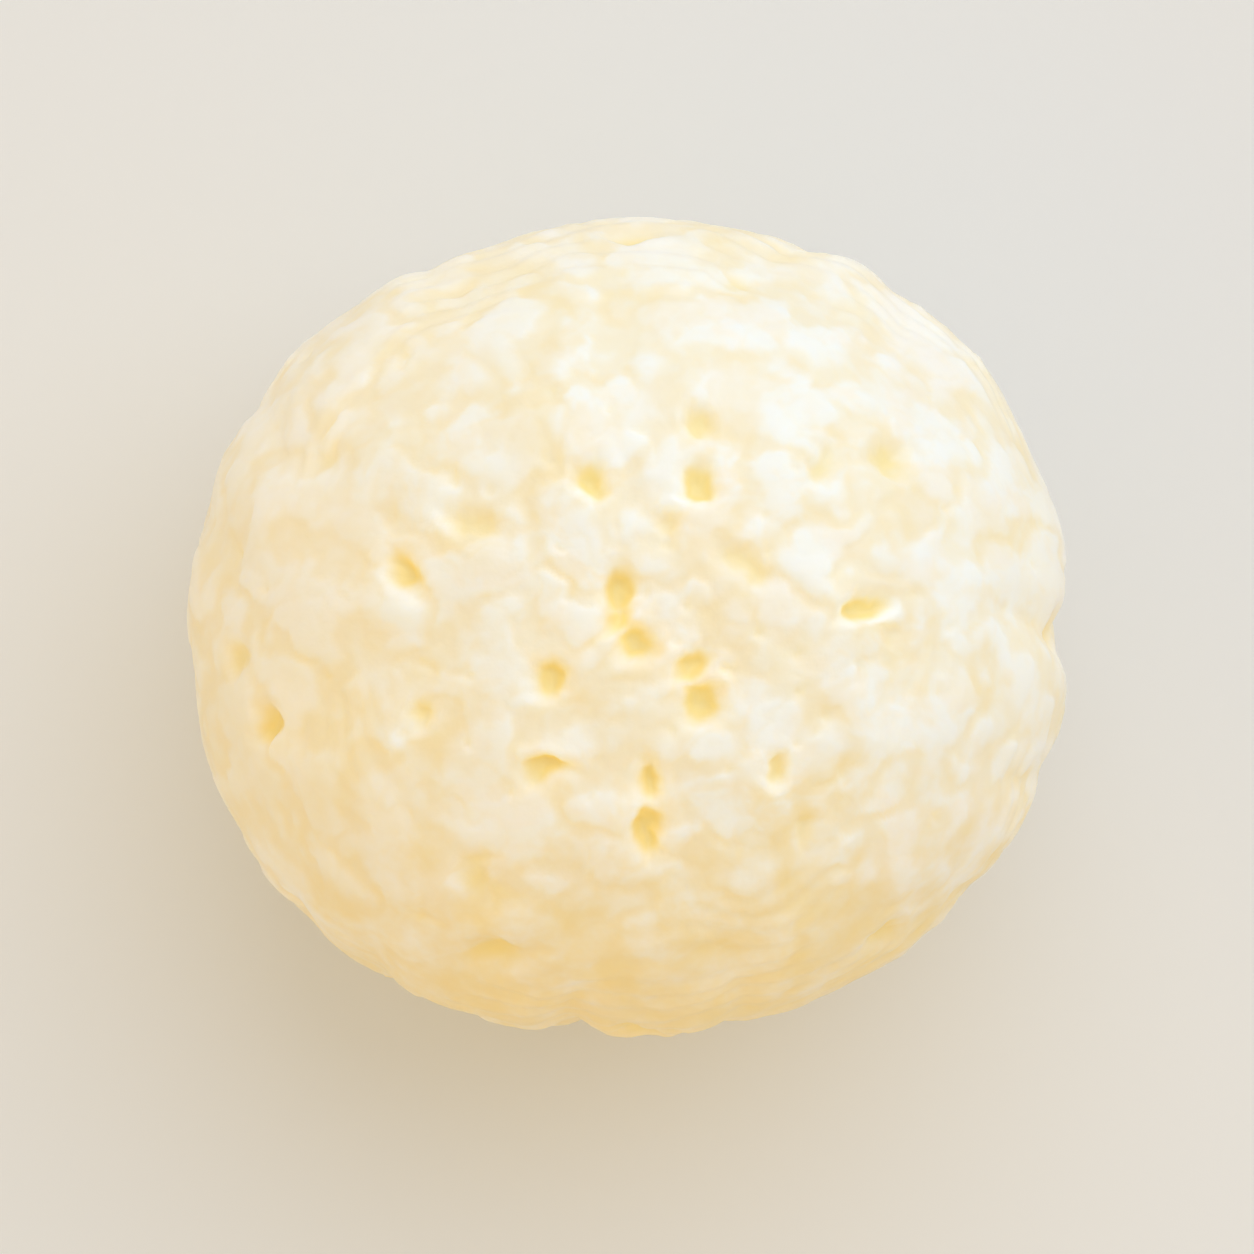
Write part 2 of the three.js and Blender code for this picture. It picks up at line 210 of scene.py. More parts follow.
CREAM = "#fefcf5"
DEEPER_CREAM = "#fcf5de"
# Painted yellow light caught in folds and crumples, and the painted warm bounce towards -y
FOLD_YELLOW = "#fae4a2"
# Painted golden glow of the light caught in pits and pores
PIT_GOLD = "#fce9a4"
# Painted highlight on the flecks and along the ridges
HIGHLIGHT_WHITE = "#fcfffd"
PATCH_PITCH = 3.2
MOTTLE_PITCH = 0.8
MOTTLE_SHARE = 0.6  # how much the mottling counts, next to the patches
CREAM_UP_TO, DEEPER_FROM = 0.62, 1.02  # patches and mottling together
MOTTLE_THIN, MOTTLE_THICK = 0.3, 0.7
FLECK_PITCH = 1.1
FLECK_WARP = 0.4  # how far the flecks are drawn out of round
FLECK_STARTS, FLECK_FULL = 0.40, 0.57
# The painted highlight flecks are whitest towards this side, up and towards the light: shares of white
# at two reaches that way from the foot
FLECK_SIDE = Vector((0.3, 0.15, 1)).normalized()
FLECK_REACHES, FLECK_SHARES = (7.5, 9.9), (0.15, 1.0)
# Mostly painted warm bounce light, partly the skin's own deeper tone, yellows the skin towards this
# side
TONE_AND_BOUNCE_SIDE = Vector((0.1, -1, 0)).normalized()
TONE_AND_BOUNCE_STRAY = 6  # how far the mottling, which runs from 0 to 1, makes its edge stray
TONE_AND_BOUNCE_FROM, TONE_AND_BOUNCE_FULL, TONE_AND_BOUNCE_SHARE = 5.5, 9.5, 0.7  # out towards that side, stray included
# Painted light on the skin: white highlights on the ridges, and yellow light caught in crumples, folds
# and pits. For each: the stored value where the tint starts and where it is full, its share and colour
TINTS = (
    ("ridge_highlight", 0.1, 0.8, 0.85, HIGHLIGHT_WHITE),
    ("crumple", 0.0, 0.05, 0.42, FOLD_YELLOW),
    ("fold", 0.08, 0.40, 0.75, FOLD_YELLOW),
    ("pit", 0.02, 0.20, 1.0, PIT_GOLD),
)
GLOSSIEST, DULLEST = 0.28, 0.46  # roughness, from clear skin to the thickest mottling
GRAIN_PITCH = 0.16
GRAIN_HEIGHT = 0.02
GRAIN_STRENGTH = 0.35  # share of it that shows in the light
CORN_IOR = 1.5  # of dry starch
LIGHT_ENTERS = 0.5  # share of the light that goes under the skin
LIGHT_TRAVELS = 1.0  # as far as this under the skin
LIGHT_BY_COLOUR = (1.0, 0.7, 0.25)  # share of that way for red, green and blue
BOARD_WHITE = "#eceef2"
BOARD_ROUGHNESS = 0.9
PAINT_IOR = 1.45
SKY_WHITE = "#fdfbf6"
SKY_WARM = "#f8d078"

# ---- studio ----

FRAME_WIDTH = 19  # of the picture, in millimetres at the ball
CAMERA_AWAY = 0.3  # above the floor, in metres
NEAREST_SEEN = 0.01  # from the camera, in metres
# The sky is warm and brightest low down, and white and weaker overhead and towards the upper right
SKY_LEAN = Vector((0.35, 0.55, 1)).normalized()
WARM_UP_TO = 0.6  # along that lean, from 0 at the leaned skyline
LOW_SKY = 1.00
HIGH_SKY = 0.66
# The board that the ball lies on, in metres: flat, then curled up
FLAT_TO = 0.42
COVE_TO = 0.62
COVE_HEIGHT = 0.06
COVE_STEPS = 16
BOARD_SIDES = 96
# Name, strength, spread in degrees, colour and the way to each lamp
LAMPS = (
    ("Key", 1.08, 75, "#eef6ff", (0.38, 0.64, 0.70)),
    ("Warm fill", 0.2, 90, "#ffe8bc", (-1.0, -0.1, 0.3)),
)

# Where each draw of uneven numbers starts
CREASE_DEPTH_DRAW = 40
PIT_WIDTH_DRAW = 80
PIT_TURN_DRAW = 120
PIT_STRETCH_DRAW = 160
PIT_DEPTH_DRAW = 200

MATH = "ShaderNodeMath"
VECTOR = "ShaderNodeVectorMath"
COMBINE = "ShaderNodeCombineXYZ"
SEPARATE = "ShaderNodeSeparateXYZ"
RANGE = "ShaderNodeMapRange"
MIX = "ShaderNodeMix"
GROUP = "GeometryNodeGroup"
NOISE = "ShaderNodeTexNoise"
STORE = "GeometryNodeStoreNamedAttribute"
NAMED = "GeometryNodeInputNamedAttribute"
SAMPLE = "GeometryNodeSampleIndex"


def fill(tree, node, inputs):
    """Fills a node's inputs with values, nodes or sockets.

    They come in the order in which the node shows them, or by name in a dictionary.
    """
    live = [socket for socket in node.inputs if socket.enabled]
    filled = inputs if isinstance(inputs, dict) else dict(enumerate(inputs))
    for key, value in filled.items():
        socket = live[key] if isinstance(key, int) else next(s for s in live if s.name == key)
        if isinstance(value, bpy.types.Node):
            value = next(output for output in value.outputs if output.enabled)
        if isinstance(value, bpy.types.NodeSocket):
            tree.links.new(value, socket)
        else:
            socket.default_value = value


def add(tree, kind, inputs=(), **settings):
    """Adds a node with its settings, and fills its inputs."""
    node = tree.nodes.new(kind)
    for name, value in settings.items():
        setattr(node, name, value)
    fill(tree, node, inputs)
    return node


def new_tree(name, inputs, outputs):
    """An empty Geometry Nodes tree with named inputs and outputs."""
    tree = bpy.data.node_groups.new(name, "GeometryNodeTree")
    for in_out, sockets in (("INPUT", inputs), ("OUTPUT", outputs)):
        for label, kind in sockets.items():
            tree.interface.new_socket(label, in_out=in_out, socket_type="NodeSocket" + kind)
    return tree


def uneven(index):
    """A repeatable uneven number from 0 to 1 for each whole number. The factors only scramble it."""
    return math.sin(index * 12.9898 + 4.1414) * 43758.5453 % 1


def uneven_between(limits, index):
    low, high = limits
    return low + (high - low) * uneven(index)


def spiral_direction(index, count):
    """Evenly spread points over a ball."""
    z = 1 - (2 * index + 1) / count
    across = math.sqrt(1 - z * z)
    turn = index * math.pi * (3 - math.sqrt(5))
    return Vector((across * math.cos(turn), across * math.sin(turn), z))


def level_direction(degrees):
    return Vector((math.cos(math.radians(degrees)), math.sin(math.radians(degrees)), 0))


def reach_across(x, y):
    """0 in the middle of the plan and 1 on its outline."""
    along_x = abs(x / (LENGTH / 2)) ** PLAN_FULLNESS
    along_y = abs(y / (WIDTH / 2)) ** PLAN_FULLNESS
    return (along_x + along_y) ** (1 / PLAN_FULLNESS)


def cushion_radius(direction):
    across = reach_across(direction.x, direction.y)
    upright = abs(direction.z) / (HEIGHT / 2)
    return (across**FULLNESS + upright**FULLNESS) ** (-1 / FULLNESS)


# ---- marks: what the ball grows from ----

WAVE, LOBE, CREASE, PIT, RIDGE = range(5)
# All that a mark can hold, with the value that it has where its kind doesn't need it
BLANK_MARK = {
    "kind": 0,
    "middle": Vector(),
    "outward": Vector(),
    "lengthwise": Vector(),
    "sideways": Vector(),
    "depth": 0.0,
    "width": 1.0,
    "turns": 0.0,
    "phase": 0.0,
    "side": 0.0,
    "passes": 0.0,
    "on_face": 0.0,
    "throat": 0.0,
}


def wave_marks():
    mean_radius = (LENGTH + WIDTH + HEIGHT) / 6
    for waves, height, pitch, step in (SWELL, DAPPLE):
        for index in range(waves):
            yield {
                "kind": WAVE,
                "outward": spiral_direction(index, waves),
                "depth": -height,
                "turns": 2 * math.pi * mean_radius / pitch,
                "phase": float(step * index),
            }


def lobe_marks():
    for turn, spread, lift in LOBES:
        yield {
            "kind": LOBE,
            "outward": level_direction(turn),
            "depth": -lift,
            "width": math.radians(spread),
        }


def crease_marks():
    creases = list(DEEP_CREASES)
    for index in range(FINE_CREASES):
        turn = 360 * (index + FINE_CREASE_STRAY * uneven(index)) / FINE_CREASES
        depth = uneven_between(FINE_CREASE_DEPTHS, CREASE_DEPTH_DRAW + index)
        side = -1 if index % 2 else 1
        creases.append((turn, side, depth, FINE_CREASE_WIDTH, FINE_CREASE_ON_FACE))
    for index, (turn, side, depth, width, on_face) in enumerate(creases):
        yield {
            "kind": CREASE,
            "outward": level_direction(turn),
            "sideways": level_direction(turn + 90),
            "side": float(side),
            "passes": 0.0 if side else CREASE_CROSSES,
            "depth": depth,
            "width": width,
            "on_face": on_face,
            "phase": float(CREASE_MEANDER_STEP * index),
        }


def patch_mark(kind, middle, turn, length, width, depth, throat=0.0):
    """A mark that covers a round or drawn-out patch of the skin."""
    outward = middle.normalized()
    east = (Vector((1, 0, 0)) - outward * outward.x).normalized()
    lengthwise = Matrix.Rotation(turn, 3, outward) @ east
    return {
        "kind": kind,
        "middle": middle,
        "outward": outward,
        "lengthwise": lengthwise * 2 / length,
        "sideways": outward.cross(lengthwise) * 2 / width,
        "depth": depth,
        "throat": throat,
    }


def on_upper_face(x, y):
    return Vector((x, y, HEIGHT / 2 * (1 - reach_across(x, y) ** FULLNESS) ** (1 / FULLNESS)))


def ridge_marks():
    for x, y, length, width, turn, height in RIDGES:
        middle = on_upper_face(x, y)
        yield patch_mark(RIDGE, middle, math.radians(turn), length, width, -height)


def pit_marks():
    for x, y, length, width, turn, depth in FACE_PITS:
        middle = on_upper_face(x, y)
        yield patch_mark(PIT, middle, math.radians(turn), length, width, depth, FACE_THROAT)
    for index in range(SCATTERED_PITS):
        place = index + SCATTERED_PIT_STRAY * uneven(index)
        direction = spiral_direction(place, SCATTERED_PITS)
        if direction.z > UPPER_FACE:
            continue
        width = uneven_between(SCATTERED_PIT_WIDTHS, PIT_WIDTH_DRAW + index)
        length = width * uneven_between(SCATTERED_PIT_STRETCHES, PIT_STRETCH_DRAW + index)
        depth = uneven_between(SCATTERED_PIT_DEPTHS, PIT_DEPTH_DRAW + index)
        turn = math.pi * uneven(PIT_TURN_DRAW + index)
        middle = direction * cushion_radius(direction)
        yield patch_mark(PIT, middle, turn, length, width, depth, SCATTERED_THROAT)


def marks_mesh():
    """Loose points, one for each mark, that carry all that is known of it."""
    marks = [
        {**BLANK_MARK, **mark}
        for made in (wave_marks(), lobe_marks(), crease_marks(), pit_marks(), ridge_marks())
        for mark in made
    ]
    mesh = bpy.data.meshes.new("marks")
    mesh.from_pydata([mark["middle"] for mark in marks], [], [])
    kinds = {int: "INT", float: "FLOAT", Vector: "FLOAT_VECTOR"}
    for name, blank in BLANK_MARK.items():
        layer = mesh.attributes.new(name, kinds[type(blank)], "POINT")
        key = "vector" if isinstance(blank, Vector) else "value"
        for item, mark in zip(layer.data, marks):
            setattr(item, key, mark[name])
    return mesh


# ---- the tree that grows the ball ----


def fading(tree, value):
    """1 where a value is 0, and nearly 0 where it is 4 or more."""
    value = add(tree, MATH, (value, -1), operation="MULTIPLY")
    return add(tree, MATH, (value,), operation="EXPONENT")


def bell(tree, share):
    """1 where a share is 0, and nearly 0 where it is 2 or more either way."""
    return fading(tree, add(tree, MATH, (share, share), operation="MULTIPLY"))


def fold_profile_tree():
    """1 in the middle of a fold, falling to nearly 0 at twice its half-width."""
    tree = new_tree("Fold profile", {"Distance": "Float", "Half width": "Float"}, {"Profile": "Float"})
    given = add(tree, "NodeGroupInput").outputs
    share = add(tree, MATH, (given["Distance"], given["Half width"]), operation="DIVIDE")
    share = add(tree, MATH, (share,), operation="ABSOLUTE")
    share = add(tree, MATH, (share, FOLD_SHARPNESS), operation="POWER")
    add(tree, "NodeGroupOutput", (fading(tree, share),))
    return tree


def gather(tree, skin, surface, name, value, operation="ADD"):
    """Joins a value to what each point of the skin already holds under that name."""
    joined = add(tree, MATH, (skin[name], value), operation=operation)
    return add(tree, STORE, {"Geometry": surface, "Name": name, "Value": joined})


def for_each_mark(tree, skin, surface, marks, kind, press):
    """Goes over the marks of one kind. press says what one mark adds to the skin, and how."""
    kinds = add(tree, NAMED, ("kind",), data_type="INT")
    wanted = add(tree, "FunctionNodeCompare", (kinds, kind), data_type="INT", operation="EQUAL")
    chosen = add(tree, "GeometryNodeSeparateGeometry", (marks, wanted))
    count = add(tree, "GeometryNodeAttributeDomainSize", (chosen,))
    start = add(tree, "GeometryNodeRepeatInput")
    end = add(tree, "GeometryNodeRepeatOutput")
    start.pair_with_output(end)
    tree.links.new(count.outputs["Point Count"], start.inputs["Iterations"])
    tree.links.new(surface.outputs["Geometry"], start.inputs["Geometry"])

    def mark(name, data_type="FLOAT"):
        rows = add(tree, NAMED, (name,), data_type=data_type)
        return add(tree, SAMPLE, (chosen, rows, start.outputs["Iteration"]), data_type=data_type)

    pressed = start.outputs["Geometry"]
    for name, value, operation in press(tree, skin, mark):
        pressed = gather(tree, skin, pressed, name, value, operation)
    tree.links.new(pressed.outputs["Geometry"], end.inputs["Geometry"])
    return end


def facing(tree, skin, mark):
    """1 where the skin lies out along the mark's own direction, and -1 on the far side."""
    directions = (skin["direction"], mark("outward", "FLOAT_VECTOR"))
    return add(tree, VECTOR, directions, operation="DOT_PRODUCT")


def press_wave(tree, skin, mark):
    """A wave swells and sinks in even bands across its direction."""
    along = facing(tree, skin, mark)
    phase = add(tree, MATH, (along, mark("turns"), mark("phase")), operation="MULTIPLY_ADD")
    wave = add(tree, MATH, (phase,), operation="SINE")
    yield "depth", add(tree, MATH, (wave, mark("depth")), operation="MULTIPLY"), "ADD"


def press_lobe(tree, skin, mark):
    """A lobe's height falls off with the turn from its middle, as a smooth bell."""
    along = facing(tree, skin, mark)
    # For a turn that isn't large, twice its cosine less 2 is nearly minus its square
    minus_square = add(tree, MATH, (along, 2, -2), operation="MULTIPLY_ADD")
    width_square = add(tree, MATH, (mark("width"), 2), operation="POWER")
    share = add(tree, MATH, (minus_square, width_square), operation="DIVIDE")
    share = add(tree, MATH, (share,), operation="EXPONENT")
    yield "depth", add(tree, MATH, (share, mark("depth")), operation="MULTIPLY"), "ADD"


def press_crease(tree, skin, mark):
    """A crease runs from face to face in an upright plane through the centre, with slow bends."""
    outward = facing(tree, skin, mark)
    aside = (skin["place"], mark("sideways", "FLOAT_VECTOR"))
    aside = add(tree, VECTOR, aside, operation="DOT_PRODUCT")
    rise = add(tree, SEPARATE, (skin["place"],)).outputs["Z"]
    way_up = (rise, 2 * math.pi / CREASE_MEANDER_PITCH, mark("phase"))
    bend = add(tree, MATH, way_up, operation="MULTIPLY_ADD")
    bend = add(tree, MATH, (bend,), operation="SINE")
    aside = add(tree, MATH, (bend, CREASE_MEANDER, aside), operation="MULTIPLY_ADD")
    profile = add(tree, GROUP, (aside, mark("width")), node_tree=skin["fold profile"])
    on_face = (outward, CREASE_STARTS, CREASE_REACHES_SIDE, 0, mark("on_face"))
    on_face = add(tree, RANGE, on_face, interpolation_type="SMOOTHSTEP")
    on_side = (outward, CREASE_REACHES_SIDE, CREASE_FULL, on_face, 1)
    share = add(tree, RANGE, on_side, interpolation_type="SMOOTHSTEP")
    own_side = add(tree, MATH, (skin["above"], mark("side"), mark("passes")), operation="MULTIPLY_ADD")
    own_side = (own_side, -CREASE_CROSSES, CREASE_CROSSES)
    own_side = add(tree, RANGE, own_side, interpolation_type="SMOOTHSTEP")
    depth = add(tree, MATH, (profile, mark("depth")), operation="MULTIPLY")
    depth = add(tree, MATH, (depth, share), operation="MULTIPLY")
    depth = add(tree, MATH, (depth, own_side), operation="MULTIPLY")
    yield "depth", depth, "ADD"
    # The crease's depth also sets the painted yellow light caught in it
    yield "fold", depth, "MAXIMUM"


def distance_across(tree, skin, mark):
    """0 in the middle of a patch and 1 at its rim."""
    offset = (skin["ragged place"], mark("middle", "FLOAT_VECTOR"))
    offset = add(tree, VECTOR, offset, operation="SUBTRACT")
    reach = [
        add(tree, VECTOR, (offset, mark(name, "FLOAT_VECTOR")), operation="DOT_PRODUCT")
        for name in ("lengthwise", "sideways", "outward")
    ]
    return add(tree, VECTOR, (add(tree, COMBINE, reach),), operation="LENGTH")


def press_ridge(tree, skin, mark):
    """A bubble wall that stands up from the skin, with a painted white highlight along it."""
    ridge = bell(tree, distance_across(tree, skin, mark))
    yield "depth", add(tree, MATH, (ridge, mark("depth")), operation="MULTIPLY"), "ADD"
    yield "ridge_highlight", ridge, "MAXIMUM"


def press_pit(tree, skin, mark):
    """A burst bubble: a round or drawn-out hole with a turned-up lip and a narrow throat."""
    distance = distance_across(tree, skin, mark)
    hole = add(tree, MATH, (distance, PIT_STEEPNESS), operation="POWER")
    hole = fading(tree, hole)
    lip = add(tree, MATH, (distance, PIT_LIP_REACH), operation="SUBTRACT")
    lip = add(tree, MATH, (lip, PIT_LIP_WIDTH), operation="DIVIDE")
    lip = bell(tree, lip)
    throat = (distance, THROAT_REACH, 0, 0, mark("throat"))
    throat = add(tree, RANGE, throat, interpolation_type="SMOOTHSTEP")
    hole = add(tree, MATH, (hole, throat), operation="ADD")
    hole = add(tree, MATH, (hole, mark("depth")), operation="MULTIPLY")
    lip = add(tree, MATH, (lip, mark("depth")), operation="MULTIPLY")
    yield "depth", hole, "ADD"
    yield "depth", add(tree, MATH, (lip, -PIT_LIP), operation="MULTIPLY"), "ADD"
    # The hole also sets the painted golden glow of the light caught in the pit
    yield "pit", hole, "MAXIMUM"


def blown_up_cube(tree, given):
    """A cube's grid blown up to a unit ball, and slid towards the pitted face."""
    corners = add(tree, MATH, (given["Grid"], 1), operation="ADD")
    blank = add(tree, "GeometryNodeMeshCube", ((2, 2, 2), corners, corners, corners))
    even = add(tree, "GeometryNodeInputPosition")
    even = add(tree, VECTOR, {"Vector": even, "Scale": math.pi / 4}, operation="SCALE")
    even = add(tree, VECTOR, (even,), operation="TANGENT")
    even = add(tree, VECTOR, (even,), operation="NORMALIZE")
    z = add(tree, SEPARATE, (even,)).outputs["Z"]
    twice = add(tree, MATH, (given["Crowding"], 2), operation="MULTIPLY")
    slid = add(tree, VECTOR, {"Vector": even, "Scale": twice}, operation="SCALE")
    slid = add(tree, SEPARATE, (slid,)).outputs
    from_top = add(tree, MATH, (1, z), operation="SUBTRACT")
    from_top = add(tree, MATH, (from_top, given["Crowding"]), operation="MULTIPLY")
    from_top = add(tree, MATH, (from_top, given["Crowding"]), operation="MULTIPLY")
    rise = add(tree, MATH, (z, 1), operation="ADD")
    rise = add(tree, MATH, (rise, from_top), operation="SUBTRACT")
    slid = add(tree, COMBINE, (slid["X"], slid["Y"], rise))
    return blank, add(tree, VECTOR, (slid,), operation="NORMALIZE")


def cushion(tree, given, blank, direction):
    """Moves the blank's points out to the round cushion with two broad faces."""
    half = add(tree, COMBINE, (given["Length"], given["Width"], given["Height"]))
    half = add(tree, VECTOR, {"Vector": half, "Scale": 0.5}, operation="SCALE")
    reach = add(tree, VECTOR, (direction, half), operation="DIVIDE")
    reach = add(tree, VECTOR, (reach,), operation="ABSOLUTE")
    reach = add(tree, SEPARATE, (reach,)).outputs
    along_x = add(tree, MATH, (reach["X"], given["Plan fullness"]), operation="POWER")
    along_y = add(tree, MATH, (reach["Y"], given["Plan fullness"]), operation="POWER")
    across = add(tree, MATH, (along_x, along_y), operation="ADD")
    fuller = add(tree, MATH, (given["Fullness"], given["Plan fullness"]), operation="DIVIDE")
    across = add(tree, MATH, (across, fuller), operation="POWER")
    upright = add(tree, MATH, (reach["Z"], given["Fullness"]), operation="POWER")
    both = add(tree, MATH, (across, upright), operation="ADD")
    root = add(tree, MATH, (-1, given["Fullness"]), operation="DIVIDE")
    radius = add(tree, MATH, (both, root), operation="POWER")
    place = add(tree, VECTOR, {"Vector": direction, "Scale": radius}, operation="SCALE")
    return add(tree, "GeometryNodeSetPosition", {"Geometry": blank, "Position": place})


def above_girdle(tree, given, place):
    """How far a point is above the middle of the girdle, which wanders up and down."""
    x, y, _ = add(tree, SEPARATE, (place,)).outputs
    turn = add(tree, MATH, (y, x), operation="ARCTAN2")
    turns = (turn, GIRDLE_BENDS, GIRDLE_BEND_START)
    bend = add(tree, MATH, turns, operation="MULTIPLY_ADD")
    bend = add(tree, MATH, (bend,), operation="SINE")
    bend = add(tree, MATH, (bend, given["Girdle bend height"]), operation="MULTIPLY")
    above = add(tree, VECTOR, (place, given["Girdle lean"]), operation="DOT_PRODUCT")
    above = add(tree, MATH, (above, given["Girdle drop"]), operation="ADD")
    return add(tree, MATH, (above, bend), operation="SUBTRACT")


def grooves(tree, given, skin, surface):
    """The girdle round the waist, and the shoulder groove that goes part of the way round."""
    girdle = add(tree, GROUP, (skin["above"], given["Girdle width"]), node_tree=skin["fold profile"])
    weak_side = (skin["direction"], given["Girdle weak side"])
    share = add(tree, VECTOR, weak_side, operation="DOT_PRODUCT")
    share = add(tree, RANGE, (share, -1, 1, 1, given["Girdle weakest"]))
    girdle = add(tree, MATH, (girdle, share), operation="MULTIPLY")
    girdle = add(tree, MATH, (girdle, given["Girdle depth"]), operation="MULTIPLY")
    above = add(tree, MATH, (skin["above"], given["Shoulder rise"]), operation="SUBTRACT")
    shoulder = add(tree, GROUP, (above, given["Shoulder width"]), node_tree=skin["fold profile"])
    share = add(tree, VECTOR, (skin["direction"], given["Shoulder side"]), operation="DOT_PRODUCT")
    share = add(tree, RANGE, (share, 0, SHOULDER_FULL), interpolation_type="SMOOTHSTEP")
    shoulder = add(tree, MATH, (shoulder, share), operation="MULTIPLY")
    shoulder = add(tree, MATH, (shoulder, given["Shoulder depth"]), operation="MULTIPLY")
    for depth in (girdle, shoulder):
        surface = gather(tree, skin, surface, "depth", depth)
        # Their depth also sets the painted yellow light caught in the grooves
        surface = gather(tree, skin, surface, "fold", depth, "MAXIMUM")
    return surface


def ragged(tree, given, skin, surface):
    """Each point's place, strayed a little, so that no pit or pore has an even rim."""
    stray = (skin["place"], 1 / PIT_RAG_PITCH, UNEVEN_NOISE)
    stray = add(tree, NOISE, stray).outputs["Color"]
    stray = add(tree, VECTOR, (stray, [NOISE_MIDDLE] * 3), operation="SUBTRACT")
    stray = {"Vector": stray, "Scale": given["Pit raggedness"]}
    stray = add(tree, VECTOR, stray, operation="SCALE")
    place = add(tree, VECTOR, (skin["place"], stray), operation="ADD")
    held = {"Geometry": surface, "Name": "ragged place", "Value": place}
    return add(tree, STORE, held, data_type="FLOAT_VECTOR")


def full_on_face(tree, skin, on_side):
    """1 on the pitted face, falling smoothly to a given share on the side of the ball."""
    z = add(tree, SEPARATE, (skin["direction"],)).outputs["Z"]
    share = (z, FACE_STARTS, FACE_FULL, on_side, 1)
    return add(tree, RANGE, share, interpolation_type="SMOOTHSTEP")


def blisters(tree, given, skin, surface):
    """Low domes of the bubbles under the skin, flatter on the side than on the pitted face."""
    domes = {
        "Vector": skin["ragged place"],
        "Scale": 1 / BLISTER_PITCH,
        "Smoothness": BLISTER_SOFTNESS,
    }
    domes = add(tree, "ShaderNodeTexVoronoi", domes, feature="SMOOTH_F1")
    share = full_on_face(tree, skin, BLISTER_ON_SIDE)
    depth = add(tree, MATH, (domes, share), operation="MULTIPLY")
    depth = add(tree, MATH, (depth, given["Blister height"]), operation="MULTIPLY")
    return gather(tree, skin, surface, "depth", depth)


def crumples(tree, given, skin, surface):
    """Fine uneven folds between the bubbles, where two sets of noise pass their middle value."""
    share = full_on_face(tree, skin, given["Crumple on side"])
    for pitch, depth in CRUMPLE_DEPTHS:
        height = add(tree, NOISE, (skin["ragged place"], 1 / pitch, SOFT_NOISE))
        away = add(tree, MATH, (height, NOISE_MIDDLE), operation="SUBTRACT")
        away = add(tree, MATH, (away,), operation="ABSOLUTE")
        valley = (away, 0, given["Crumple width"], 1, 0)
        valley = add(tree, RANGE, valley, interpolation_type="SMOOTHSTEP")
        valley = add(tree, MATH, (valley, share), operation="MULTIPLY")
        valley = add(tree, MATH, (valley, depth), operation="MULTIPLY")
        surface = gather(tree, skin, surface, "depth", valley)
        # The valleys also set the painted yellow light caught in them
        surface = gather(tree, skin, surface, "crumple", valley)
    return surface


def wrinkles(tree, given, skin, surface):
    """Patches of fine ripples round the rim, where the skin has shrunk like a fingerprint."""
    z = add(tree, SEPARATE, (skin["direction"],)).outputs["Z"]
    arc = add(tree, MATH, (z,), operation="ARCCOSINE")
    arc = add(tree, MATH, (arc, skin["radius"]), operation="MULTIPLY")
    warp = add(tree, NOISE, (skin["place"], 1 / WRINKLE_WARP_PITCH, SOFT_NOISE))
    arc = add(tree, MATH, (warp, WRINKLE_WARP, arc), operation="MULTIPLY_ADD")
    ripple = add(tree, MATH, (arc, 2 * math.pi / WRINKLE_PITCH), operation="MULTIPLY")
    ripple = add(tree, MATH, (ripple,), operation="SINE")
    elsewhere = add(tree, VECTOR, (skin["place"], WRINKLE_PATCH_SHIFT), operation="ADD")
    patch = add(tree, NOISE, (elsewhere, 1 / WRINKLE_PATCH_PITCH, SOFT_NOISE))
    patch = (patch, WRINKLE_PATCH_STARTS, WRINKLE_PATCH_FULL)
    patch = add(tree, RANGE, patch, interpolation_type="SMOOTHSTEP")
    band = (z, WRINKLE_STARTS, WRINKLE_FULL)
    band = add(tree, RANGE, band, interpolation_type="SMOOTHSTEP")
    depth = add(tree, MATH, (ripple, patch), operation="MULTIPLY")
    depth = add(tree, MATH, (depth, band), operation="MULTIPLY")
    depth = add(tree, MATH, (depth, given["Wrinkle height"]), operation="MULTIPLY")
    return gather(tree, skin, surface, "depth", depth)


def pores(tree, given, skin, surface):
    """Pinholes of single bubbles, strewn over the skin and thicker on the pitted face."""
    z = add(tree, SEPARATE, (skin["direction"],)).outputs["Z"]
    share = add(tree, RANGE, (z, PORES_THICKEN, PORES_THICKEST, PORES_ON_SIDE, 1))
    strewn = {
        "Mesh": surface,
        "Distance Min": given["Pore spacing"],
        "Density Max": given["Pore density"],
        "Density Factor": share,
        "Seed": given["Seed"],
    }
    strewn = add(tree, "GeometryNodeDistributePointsOnFaces", strewn, distribute_method="POISSON")
    nearest = {"Geometry": strewn, "Sample Position": skin["ragged place"]}
    gap = add(tree, "GeometryNodeProximity", nearest, target_element="POINTS").outputs["Distance"]
    which = add(tree, "GeometryNodeSampleNearest", nearest)
    width = {"Min": PORE_NARROWEST, "Max": 1.0, "ID": which, "Seed": given["Seed"]}
    width = add(tree, "FunctionNodeRandomValue", width)
    width = add(tree, MATH, (width, given["Pore width"]), operation="MULTIPLY")
    pore = bell(tree, add(tree, MATH, (gap, width), operation="DIVIDE"))
    depth = add(tree, MATH, (pore, given["Pore depth"]), operation="MULTIPLY")
    surface = gather(tree, skin, surface, "depth", depth)
    # Each pore also gets a painted golden glow, kept with the pits'
    glow = add(tree, MATH, (pore, given["Pore glow"]), operation="MULTIPLY")
    return gather(tree, skin, surface, "pit", glow, "MAXIMUM")


